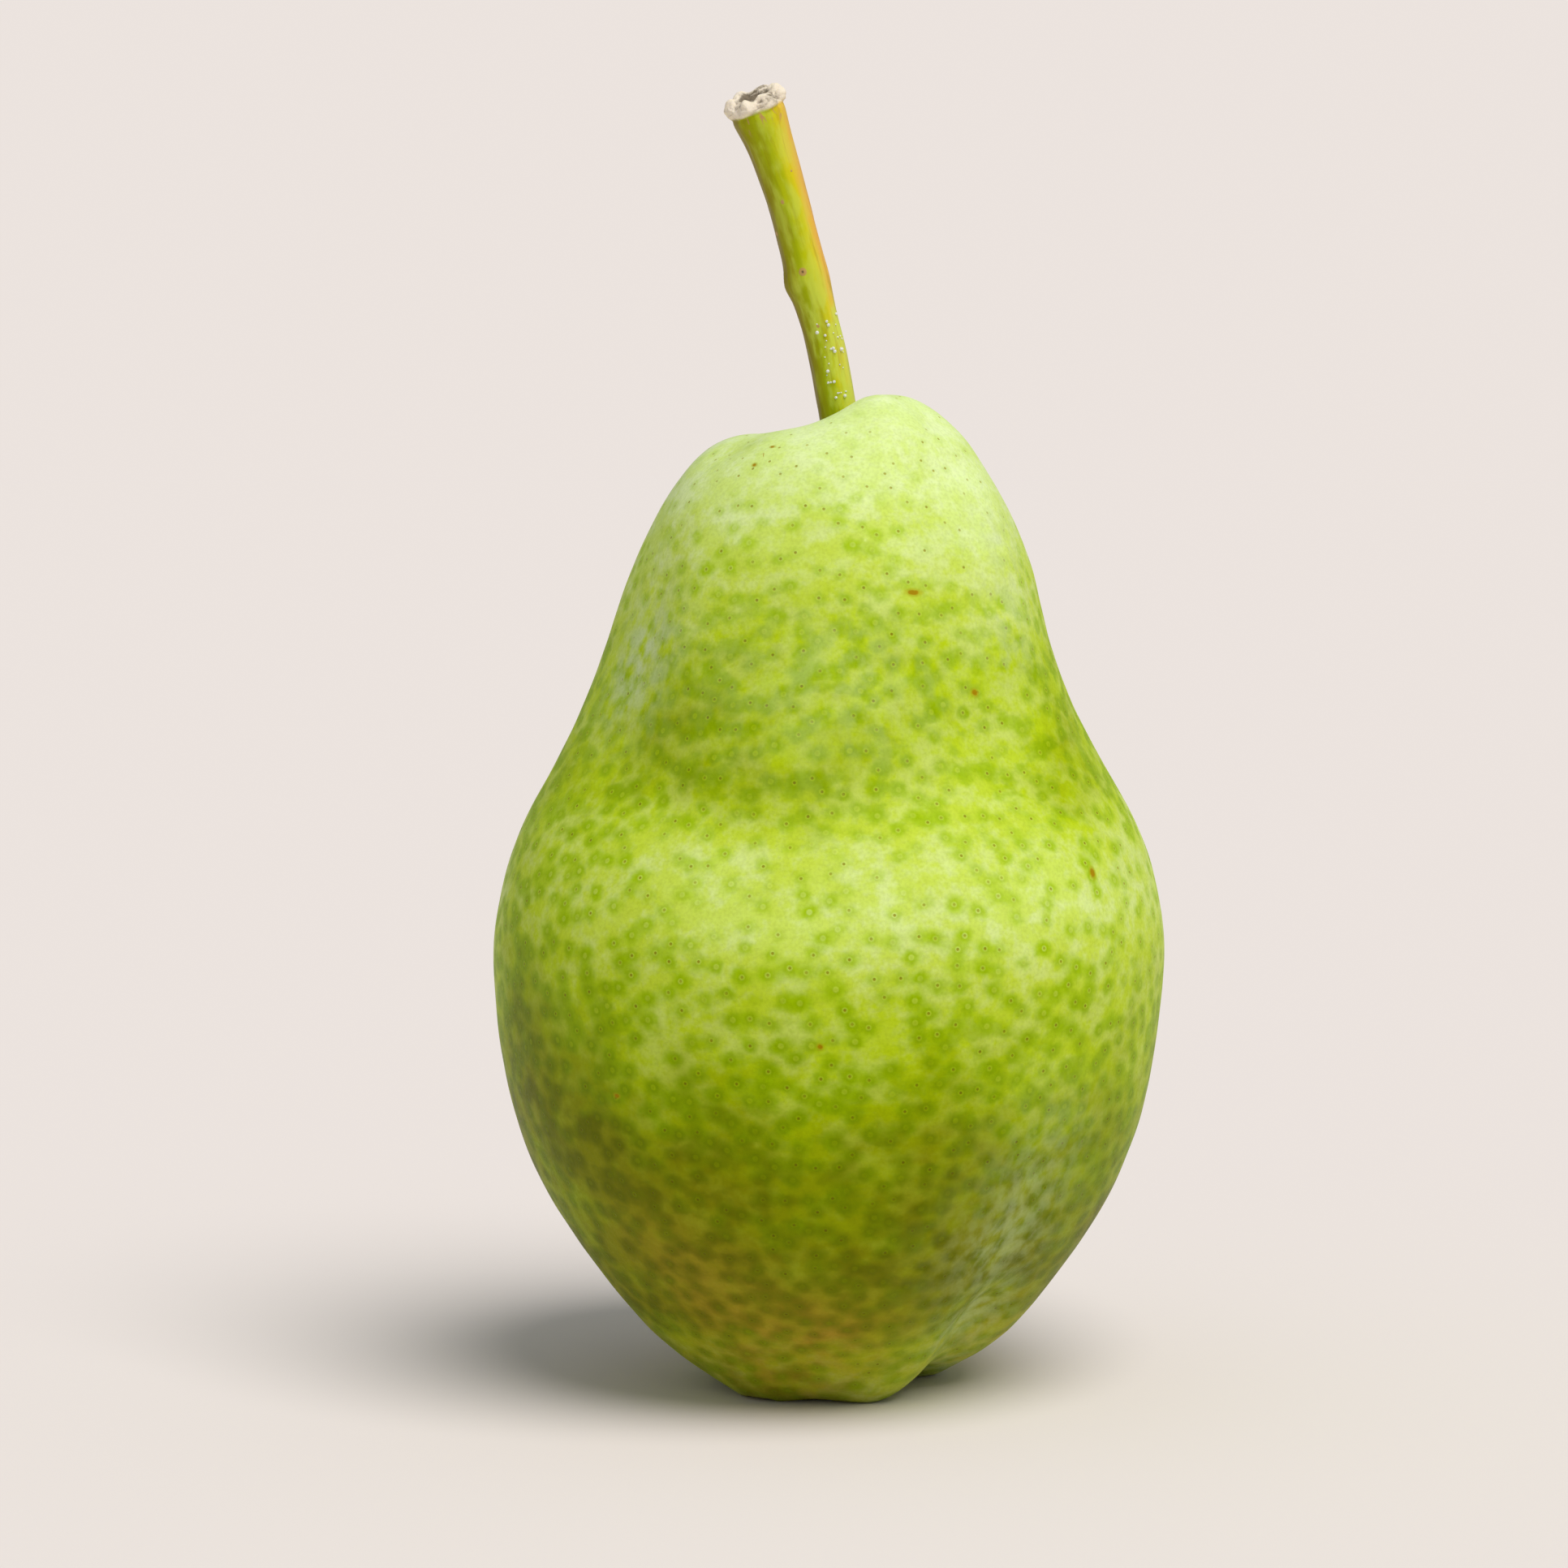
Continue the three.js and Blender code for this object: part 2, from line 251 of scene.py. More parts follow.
DOT_TONES = [
    (0, srgb(100, 94, 4)), (0.25, srgb(112, 102, 6)), (0.45, srgb(132, 116, 8)), (0.75, srgb(148, 134, 18)),
    (1, srgb(168, 158, 40)),
]
GRAIN_COLOUR = srgb(96, 112, 0)
BLOOM_COLOUR = srgb(196, 211, 152)
RUST_COLOUR = srgb(166, 124, 2)
RUST_EDGE_COLOUR = srgb(174, 166, 24)
# Brown of the base, and of the painted bounce light and shade low on the front
BROWN_AND_BOUNCE_COLOUR = srgb(174, 144, 42)
BROWN_AND_BOUNCE_HALO_COLOUR = srgb(138, 118, 24)
# Tones of the stem from its left to its right, with painted shade in the dark stops at both edges, and its
# other colours
STEM_TONES_AND_EDGE_SHADE = [
    (0, srgb(132, 112, 10)), (0.16, srgb(150, 146, 0)), (0.4, srgb(170, 184, 2)), (0.62, srgb(192, 198, 8)),
    (0.8, srgb(220, 204, 28)), (0.95, srgb(230, 192, 66)), (1, srgb(214, 168, 62)),
]
STEM_VEIN_COLOUR = srgb(140, 116, 6)
STEM_FRESH_COLOUR = srgb(208, 220, 88)
STEM_ORANGE_COLOUR = srgb(234, 174, 78)
CRACK_COLOUR = srgb(196, 152, 96)
CORK_COLOUR = srgb(242, 228, 206)
PIT_COLOUR = srgb(86, 70, 48)
CALYX_DARK_COLOUR = srgb(58, 40, 22)
CALYX_LIGHT_COLOUR = srgb(120, 92, 58)

# Pattern of the skin. A step is smooth, between two values, with what it gives at each where that isn't
# 0 and 1. Noises of the tone are (size in mm, swing, stretch), and warps are (size, reach).
PATCH_STRETCH = (1.6, 1.6, 1)
TONE_NOISES = [(1.8, 0.2, (1, 1, 1)), (4.5, 0.3, PATCH_STRETCH)]
CLOUD_MM = 2.8
CLOUD_STRETCH = (1.5, 1.5, 1)
CLOUD_SHARE = 0.65
FINE_CLOUD_MM = 0.9
CLOUD_STEP = (0.43, 0.62)
CLOUD_BY_PALENESS = (0.05, 0.7, 0.2, 0.85)
HALO_WARPS_MM = [(1.9, 1.3), (0.55, 0.5)]
HALO_FLATTENED = (1, 1, 1.2)
HALO_STEP = (0.1, 1.35)
MOTTLE_MM = 2.4
MOTTLE_STEP = (0.47, 0.68)
RAGGED_MM = 0.9
RAGGED_SWING = 0.5
BROWN_AND_BOUNCE_NOISE_MM = 3
BROWN_AND_BOUNCE_STEP = (0.25, 0.75, 0.5, 1.0)
CORE_WARP_MM = (0.6, 0.7)
CORE_STEP_MM = (0.25, 0.9, 0.4, 0.0)
RING_STEP_MM = (0.2, 0.4)
RING_SHARE = 0.62
RING_PALER = 0.12
DOT_STEP_MM = (0.09, 0.2)
DOT_SHARE = 0.85
BLOOM_MM = 1.5
BLOOM_STRETCH = (1, 1, 1.5)
BLOOM_STEP = (0.3, 0.66)
RUST_EDGE_STEP = (1.0, 1.9, 0.6, 0.0)
RUST_STEP = (0.6, 1.1, 0.9, 0.0)
GRAIN_MM = 0.35
GRAIN_STEP = (0.35, 0.75, 0.0, 0.14)
# Its bump and gloss
PORE_MM = 1.1
GRAIN_HEIGHT = 0.5
RING_HEIGHT = 0.5
SKIN_BUMP_MM = 0.06
SKIN_BUMP_STRENGTH = 0.7
SKIN_ROUGHNESS_BY_GRAIN = (0.2, 0.8, 0.4, 0.52)
BLOOM_ROUGHNESS = 0.2

# Pattern of the stem in the same form: noises stretched along it, and steps by the share of its length and by
# its flank, which runs from -1 on its left to 1 on its right
STREAK_MM = 0.55
STREAK_STRETCH = (1, 1, 7)
STREAK_SWING = 0.55
PALE_SIDE_BY_SHARE = (0.4, 0.5, 0.75, 0.0)
PALE_SIDE_BY_FLANK = (0.35, 0.9)
FRESH_MM = 1.3
FRESH_STRETCH = (1, 1, 2.5)
FRESH_STEP = (0.4, 0.62)
FRESH_BY_SHARE = (0.42, 0.6, 0.75, 0.45)
FRESH_BY_FLANK = (-0.85, -0.4)
ORANGE_BY_FLANK = (0.52, 0.95)
ORANGE_SETS_IN = (0.42, 0.6)
ORANGE_FADES = (0.74, 0.95, 1.0, 0.35)
ORANGE_SHARE = 0.75
VEIN_MM = 0.6
VEIN_STRETCH = (1, 1, 10)
VEIN_STEP = (0.5, 0.75, 0.0, 0.4)
CRACK_MM = 0.5
CRACK_STRETCH = (1, 1, 4)
CRACK_STEP = (0.56, 0.66)
CRACKS_SET_IN = (0.9, 0.955)
SPOT_STEP = (0.8, 1.25, 0.9, 0.0)
PIT_STEP = (0.2, 0.5, 0.9, 0.0)
CORK_STEP = (0.1, 0.9)
CREVICE_MM = 0.3
CREVICE_SWING = 0.5
CREVICE_STEP = (0.5, 1.0, 0.0, 0.85)
# Its bump and gloss
SPOT_RISES = (0.5, 1.2, 1.0, 0.0)
SPOT_HEIGHT = 0.8
BARK_GRAIN_MM = 0.2
BARK_GRAIN_HEIGHT = 0.2
CORK_GRAIN_HEIGHT = 1.5
STEM_BUMP_MM = 0.08
STEM_BUMP_STRENGTH = 0.6
STEM_ROUGHNESS_BY_CORK = (0.0, 1.0, 0.42, 0.9)

# Gloss of the dew, and pattern of the calyx
DEW_NOISE_MM = 0.3
DEW_ROUGHNESS = (0.3, 0.7, 0.01, 0.05)
CALYX_FIBRE_MM = 0.5
CALYX_FIBRE_STRETCH = (1, 1, 2)
CALYX_STEP = (0.35, 0.7)
CALYX_BUMP_MM = 0.15
CALYX_BUMP_STRENGTH = 0.8
CALYX_ROUGHNESS = (0.2, 0.8, 0.75, 0.95)

# Soft light: the key's strength and where it comes from, the sky's strength, and the floor, which fades into
# the backdrop
KEY_STRENGTH = 2.5
KEY_COLOUR = (1, 0.985, 0.96)
KEY_FROM = Vector((0.35, -0.47, 1)).normalized()
KEY_SPREAD = math.radians(40)
SKY_STRENGTH = 0.355
SKY_COLOUR = (0.9, 0.95, 1)
FLOOR_COLOUR = srgb(235, 226, 221)
FLOOR_RADIUS = 4
FLOOR_SIDES = 96


class Shading:
    """Short way to write a material: each call adds one node and gives its output."""

    def __init__(self, name):
        self.material = bpy.data.materials.new(name)
        self.material.use_nodes = True
        self.nodes = self.material.node_tree.nodes
        self.links = self.material.node_tree.links
        self.shader = self.nodes["Principled BSDF"]

    def put(self, socket, value):
        if isinstance(value, bpy.types.NodeSocket):
            self.links.new(value, socket)
        else:
            socket.default_value = value

    def set(self, **values):
        """Values or outputs for the shader's own sockets"""
        for name, value in values.items():
            self.put(self.shader.inputs[name.replace("_", " ")], value)

    def math(self, operation, *values):
        node = self.nodes.new("ShaderNodeMath")
        node.operation = operation
        for socket, value in zip(node.inputs, values):
            self.put(socket, value)
        return node.outputs[0]

    def vectors(self, operation, *values):
        node = self.nodes.new("ShaderNodeVectorMath")
        node.operation = operation
        for socket, value in zip(node.inputs, values):
            self.put(socket, value)
        return node.outputs["Value" if operation == "LENGTH" else "Vector"]

    def attribute(self, name, output="Fac"):
        node = self.nodes.new("ShaderNodeAttribute")
        node.attribute_name = name
        return node.outputs[output]

    def parts(self, colour):
        node = self.nodes.new("ShaderNodeSeparateColor")
        self.put(node.inputs[0], colour)
        return node.outputs

    def noise(self, size_mm, detail=2.0, stretch=(1, 1, 1), output="Fac", place=None):
        """Noise from 0 to 1 with patches of that size, by the place on the piece or by another one"""
        place = place or self.nodes.new("ShaderNodeTexCoord").outputs["Object"]
        node = self.nodes.new("ShaderNodeTexNoise")
        scale = [1 / (size_mm * MM * s) for s in stretch]
        self.put(node.inputs["Vector"], self.vectors("MULTIPLY", place, scale))
        self.put(node.inputs["Scale"], 1)
        self.put(node.inputs["Detail"], detail)
        return node.outputs[output]

    def swing(self, value, amount):
        """A value from 0 to 1 as one from minus half the amount to plus half"""
        return self.math("MULTIPLY_ADD", value, amount, -amount / 2)

    def warp(self, size_mm, amount):
        """Random vector that wanders from place to place, with parts up to half the amount"""
        noisy = self.noise(size_mm, output="Color")
        return self.vectors("MULTIPLY_ADD", noisy, [amount] * 3, [-amount / 2] * 3)

    def step(self, value, low, high, to_low=0.0, to_high=1.0):
        """Smooth step of a value between two others"""
        node = self.nodes.new("ShaderNodeMapRange")
        node.interpolation_type = "SMOOTHSTEP"
        for name, put in (("Value", value), ("From Min", low), ("From Max", high),
                          ("To Min", to_low), ("To Max", to_high)):
            self.put(node.inputs[name], put)
        return node.outputs[0]

    def ramp(self, value, tones):
        node = self.nodes.new("ShaderNodeValToRGB")
        stops = node.color_ramp.elements
        while len(stops) < len(tones):
            stops.new(1)
        for stop, (place, colour) in zip(stops, tones):
            stop.position = place
            stop.color = colour
        self.put(node.inputs[0], value)
        return node.outputs[0]

    def mix(self, share, first, second):
        node = self.nodes.new("ShaderNodeMix")
        node.data_type = "RGBA"
        self.put(node.inputs["Factor"], share)
        colours = [socket for socket in node.inputs if socket.type == "RGBA"]
        self.put(colours[0], first)
        self.put(colours[1], second)
        return [socket for socket in node.outputs if socket.type == "RGBA"][0]

    def bump(self, height, depth_mm, strength):
        node = self.nodes.new("ShaderNodeBump")
        self.put(node.inputs["Strength"], strength)
        self.put(node.inputs["Distance"], depth_mm * MM)
        self.put(node.inputs["Height"], height)
        self.put(self.shader.inputs["Normal"], node.outputs[0])


def link(name, data):
    """New object for a mesh, light or camera, in the scene"""
    made = bpy.data.objects.new(name, data)
    bpy.context.collection.objects.link(made)
    return made


def finish_piece(name, mesh, material):
    """Smooth-shaded piece of the pear that rides on its one body"""
    mesh.shade_smooth()
    mesh.materials.clear()
    mesh.materials.append(material)
    piece = link(name, mesh)
    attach(piece, "root")
    return piece


def mesh_of(name, shape):
    """Mesh of a bmesh, which is used up"""
    mesh = bpy.data.meshes.new(name)
    shape.to_mesh(mesh)
    shape.free()
    return mesh


def tree_of(mesh):
    return BVHTree.FromPolygons([v.co for v in mesh.vertices], [p.vertices for p in mesh.polygons])


def places_of(mesh):
    places = np.empty(len(mesh.vertices) * 3)
    mesh.vertices.foreach_get("co", places)
    return places.reshape(-1, 3)


def corners_of(mesh):
    """Places of the four corners of every face of a mesh of quads"""
    index = np.empty(len(mesh.loops), int)
    mesh.loops.foreach_get("vertex_index", index)
    return places_of(mesh)[index].reshape(-1, 4, 3)


def normals_of(mesh):
    normals = np.empty(len(mesh.vertices) * 3)
    mesh.vertices.foreach_get("normal", normals)
    return normals.reshape(-1, 3)


def push_out(mesh, rise_mm):
    """Move every vertex along its normal"""
    places = places_of(mesh) + normals_of(mesh) * (rise_mm * MM)[:, None]
    mesh.vertices.foreach_set("co", places.ravel())
    mesh.update()


def store(mesh, name, kind, domain, values):
    """Named layer of values on a mesh for its material to read"""
    field = {"FLOAT": "value", "FLOAT_VECTOR": "vector", "FLOAT_COLOR": "color"}[kind]
    layer = mesh.attributes.new(name, kind, domain)
    layer.data.foreach_set(field, np.asarray(values, np.float32).ravel())


def lumps(places, size_mm, offset=0.0):
    """Smooth noise from -1 to 1 at each place"""
    shift = Vector((offset, offset, offset))
    return np.array([noise.noise(Vector(p) / (size_mm * MM) + shift) for p in places])


def unevenness(places, table):
    """Sum of the noises of a table at each place"""
    return sum(height * lumps(places, size, offset) for size, height, offset in table)


def smooth_step(values, low, high):
    t = np.clip((values - low) / (high - low), 0, 1)
    return t * t * (3 - 2 * t)


def by_height(places, table):
    heights, amounts = zip(*table)
    return np.interp(places[:, 2] / MM, heights, amounts)


def between(limits, share):
    low, high = limits
    return low + (high - low) * share


def tree_of_points(points):
    tree = KDTree(len(points))
    for i, point in enumerate(points):
        tree.insert(point, i)
    tree.balance()
    return tree


def cage_of(node):
    """A solid's mesh with one vertex at each corner"""
    cage = bmesh.new()
    cage.from_mesh(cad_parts[node].data)
    bmesh.ops.remove_doubles(cage, verts=cage.verts, dist=WELD)
    return cage


def subdivided(cage, levels):
    """Smooth mesh of a cage, which is used up"""
    bmesh.ops.join_triangles(cage, faces=cage.faces, angle_face_threshold=QUAD_FOLD,
                             angle_shape_threshold=QUAD_FOLD)
    mesh = mesh_of("cage", cage)
    holder = link("cage", mesh)
    holder.modifiers.new("smooth", "SUBSURF").levels = levels
    smooth = bpy.data.meshes.new_from_object(holder.evaluated_get(bpy.context.evaluated_depsgraph_get()))
    bpy.data.objects.remove(holder)
    bpy.data.meshes.remove(mesh)
    return smooth


def cube_sphere(cells):
    """Directions and quads of a cube blown up to a ball, with cells of about one size"""
    steps = np.tan((np.arange(cells + 1) / cells - 0.5) * math.pi / 2)
    u, v = np.meshgrid(steps, steps, indexing="ij")
    one = np.ones_like(u)
    sides = [(u, v, one), (v, u, -one), (one, u, v), (-one, v, u), (v, one, u), (u, -one, v)]
    points = np.concatenate([np.stack(side, -1).reshape(-1, 3) for side in sides])
    corners, index = np.unique(np.round(points, 6) + 0.0, axis=0, return_inverse=True)
    grid = index.reshape(len(sides), cells + 1, cells + 1)
    quads = [grid[:, :-1, :-1], grid[:, 1:, :-1], grid[:, 1:, 1:], grid[:, :-1, 1:]]
    return corners, np.stack(quads, -1).reshape(-1, 4)


def make_camera():
    data = bpy.data.cameras.new("camera")
    data.sensor_width = SENSOR_WIDTH_MM
    data.lens = SENSOR_WIDTH_MM * CAMERA_DISTANCE / (FRAME_PIXELS * PIXEL)
    camera = link("camera", data)
    camera.location = CAMERA_PLACE
    camera.rotation_euler = (-VIEW_BACK).to_track_quat("-Z", "Y").to_euler()
    bpy.context.scene.camera = camera


def closed_flesh(stem_tree):
    """The fruit's smooth surface without the hole that the stem stands in"""
    cage = cage_of("fruit")
    near = {v for v in cage.verts if stem_tree.find_nearest(v.co, SOCKET_REACH)[0]}
    socket = [f for f in cage.faces if near.issuperset(f.verts)]
    bmesh.ops.delete(cage, geom=socket, context="FACES")
    rim = [e for e in cage.edges if e.is_boundary]
    lid = bmesh.ops.holes_fill(cage, edges=rim)["faces"]
    bmesh.ops.poke(cage, faces=lid)
    return subdivided(cage, FLESH_SUBDIVISIONS)


def fruit_mesh(flesh_tree, stem_tree):
    """Even quads on the fruit's surface, with gentle lumps and a dimple round the stem"""
    corners, quads = cube_sphere(FRUIT_CELLS)
    rays = [Vector((x, y, z * FRUIT_STRETCH)).normalized() for x, y, z in corners]
    hits = [flesh_tree.ray_cast(FRUIT_HEART, ray)[0] for ray in rays]
    mesh = bpy.data.meshes.new("pear_skin")
    mesh.from_pydata(hits, [], quads.tolist())
    places = places_of(mesh)
    rise = unevenness(places, LUMPS_MM) * smooth_step(places[:, 2] / MM, *LUMPS_SET_IN_MM)
    rise += patches(places, flesh_tree, RELIEF_PATCHES, [])
    stem_gap = np.array([stem_tree.find_nearest(hit)[3] for hit in hits]) / MM
    rise -= STEM_DIMPLE_MM * np.exp(-(stem_gap / STEM_DIMPLE_REACH_MM) ** 2)
    push_out(mesh, rise)
    return mesh


def seen_at(tree, column, row):
    """Place of a surface that a pixel of the photograph shows, and its normal"""
    across = (column - FRAME_PIXELS / 2) * PIXEL
    above = (FRAME_PIXELS / 2 - row) * PIXEL
    target = AIM + VIEW_RIGHT * across + VIEW_UP * above
    return tree.ray_cast(CAMERA_PLACE, target - CAMERA_PLACE)[:2]


def behind(flesh_tree, degrees, height_mm):
    """Place of the skin at an angle round the fruit and a height"""
    angle = math.radians(degrees)
    heart = Vector((0, 0, height_mm * MM))
    return flesh_tree.ray_cast(heart, Vector((math.cos(angle), math.sin(angle), 0)))[0]


def patches(places, flesh_tree, shown, hidden):
    """Sum of soft patches at each place"""
    spots = [(seen_at(flesh_tree, c, r)[0], reach, amount) for c, r, reach, amount in shown]
    spots += [(behind(flesh_tree, d, h), reach, amount) for d, h, reach, amount in hidden]
    total = np.zeros(len(places))
    for spot, reach, amount in spots:
        far = np.linalg.norm(places - np.array(spot), axis=1) / (reach * MM)
        total += amount * np.exp(-far ** 2 / 2)
    return total


def scatter(mesh, spacing_mm, most, tries):
    """Random places on a mesh of quads, no two closer than the spacing"""
    areas = np.empty(len(mesh.polygons))
    mesh.polygons.foreach_get("area", areas)
    picks = corners_of(mesh)[rng.choice(len(areas), tries, p=areas / areas.sum())]
    u, v = rng.random((2, tries, 1))
    places = ((1 - u) * (1 - v) * picks[:, 0] + u * (1 - v) * picks[:, 1]
              + u * v * picks[:, 2] + (1 - u) * v * picks[:, 3])
    kept = np.empty((most, 3))
    count = 0
    for place in places:
        if count == most:
            break
        if count == 0 or ((kept[:count] - place) ** 2).sum(1).min() > (spacing_mm * MM) ** 2:
            kept[count] = place
            count += 1
    return kept[:count]


def lenticel_looks(spots, flesh_tree):
    """Halo radius, halo strength, rim and dot of each lenticel, and how dark the middle of its halo is"""
    lush_and_shade = by_height(spots, LUSH_AND_SHADE_BY_HEIGHT) + patches(spots, flesh_tree, LUSH_AND_SHADE_PATCHES, LUSH_BEHIND)
    lush_and_shade += unevenness(spots, LUSH_LUMPS)
    size, strength, rim, dot = rng.random((4, len(spots)))
    radius = between(HALO_RADIUS_MM, (size + np.clip(lush_and_shade, 0, 1)) / 2) * by_height(spots, HALO_SIZE_BY_HEIGHT)
    halo = np.clip(HALO_BASE + lush_and_shade + HALO_VARIES * (strength - 0.5), *HALO_LIMITS)
    ring = by_height(spots, RIM_BY_HEIGHT) * (1 + rim) / 2
    dark = np.where(dot > FAINT_SHARE, between((FAINT_SHARE, 1), dot), FAINT_DOT)
    return np.stack([radius, halo, ring, dark], 1), halo * by_height(spots, CORE_BY_HEIGHT)


def mark_lenticels(mesh, flesh_tree):
    """Offsets to the three nearest lenticels on every corner, and their looks on every face"""
    spots = scatter(mesh, LENTICEL_SPACING_MM, LENTICEL_COUNT, LENTICEL_TRIES)
    looks, core = lenticel_looks(spots, flesh_tree)
    tree = tree_of_points(spots)
    centres = np.empty(len(mesh.polygons) * 3)
    mesh.polygons.foreach_get("center", centres)
    nearest = np.array([[hit[1] for hit in tree.find_n(c, 3)] for c in centres.reshape(-1, 3)])
    corners = corners_of(mesh)
    store(mesh, "core", "FLOAT", "FACE", core[nearest[:, 0]])
    for order, letter in enumerate("abc"):
        offset = corners - spots[nearest[:, order]][:, None]
        store(mesh, f"spot_{letter}", "FLOAT_VECTOR", "CORNER", offset / MM)
        store(mesh, f"look_{letter}", "FLOAT_COLOR", "FACE", looks[nearest[:, order]])


def mark_rust(mesh, flesh_tree):
    """Offset to the nearest rust mark on every corner, in half sizes of the mark"""
    corners = corners_of(mesh).reshape(-1, 3)
    offset = np.full((len(corners), 3), FAR_AWAY, float)
    for column, row, half_width, half_height in RUST_MARKS:
        place, normal = seen_at(flesh_tree, column, row)
        side = Vector((0, 0, 1)).cross(normal).normalized()
        rise = normal.cross(side)
        away = (corners - np.array(place)) / MM
        scaled = np.stack([away @ np.array(side) / half_width, away @ np.array(rise) / half_height,
                           away @ np.array(normal)], 1)
        closer = np.linalg.norm(scaled, axis=1) < np.linalg.norm(offset, axis=1)
        offset[closer] = scaled[closer]
    store(mesh, "rust", "FLOAT_VECTOR", "CORNER", offset)


def mark_skin(mesh, flesh_tree):
    """Layers that the skin's material reads"""
    places = places_of(mesh)
    pale_and_shading = by_height(places, PALE_AND_SHADING_BY_HEIGHT) + unevenness(places, PALE_LUMPS)
    pale_and_shading -= PALE_LOST_TO_LUSH_AND_SHADE * patches(places, flesh_tree, LUSH_AND_SHADE_PATCHES, LUSH_BEHIND)
    store(mesh, "paleness_and_shading", "FLOAT", "POINT", np.clip(pale_and_shading, 0, 1))
    store(mesh, "mottled", "FLOAT", "POINT", by_height(places, MOTTLE_BY_HEIGHT))
    bloom = patches(places, flesh_tree, BLOOM_PATCHES, BLOOM_BEHIND)
    store(mesh, "bloom", "FLOAT", "POINT", np.clip(bloom, 0, 1))
    brown_and_bounce = patches(places, flesh_tree, BROWN_AND_BOUNCE_PATCHES, BROWN_BEHIND)
    height = places[:, 2] / MM + unevenness(places, BROWN_EDGE_MM)
    brown_and_bounce += BROWN_BASE * (1 - smooth_step(height, *BROWN_FADES_MM))
    store(mesh, "brown_and_bounce", "FLOAT", "POINT", np.clip(brown_and_bounce, 0, 1))
    mark_lenticels(mesh, flesh_tree)
    mark_rust(mesh, flesh_tree)


def skin_halos(s, warp):
    """How far the halos' green covers the ground: three lenticels, mottles between them, ragged edges"""
    clear = 1.0
    for letter in "abc":
        offset = s.vectors("ADD", s.attribute(f"spot_{letter}", "Vector"), warp)
        gap = s.vectors("LENGTH", s.vectors("MULTIPLY", offset, HALO_FLATTENED))
        radius, strength, _ = s.parts(s.attribute(f"look_{letter}", "Color"))
        halo = s.step(s.math("DIVIDE", gap, radius), *HALO_STEP, strength, 0.0)
        clear = s.math("MULTIPLY", clear, s.math("SUBTRACT", 1.0, halo))
    patchy = s.noise(MOTTLE_MM, 3, PATCH_STRETCH)
    mottle = s.step(patchy, *MOTTLE_STEP, 0.0, s.attribute("mottled"))
    clear = s.math("MULTIPLY", clear, s.math("SUBTRACT", 1.0, mottle))
    ragged = s.swing(s.noise(RAGGED_MM, 4), RAGGED_SWING)
    return s.step(s.math("ADD", s.math("SUBTRACT", 1.0, clear), ragged), 0.0, 1.0)


def skin_ground(s, pale_and_shading, tone):
    """Colour of the skin between the halos"""
    cloud = s.math("ADD", s.math("MULTIPLY", s.noise(CLOUD_MM, 4, CLOUD_STRETCH), CLOUD_SHARE),
                   s.math("MULTIPLY", s.noise(FINE_CLOUD_MM, 4), 1 - CLOUD_SHARE))
    cloud = s.step(cloud, *CLOUD_STEP, 0.0, s.step(pale_and_shading, *CLOUD_BY_PALENESS))
    return s.mix(cloud, s.ramp(tone, GROUND_TONES), s.ramp(tone, CLOUD_TONES))


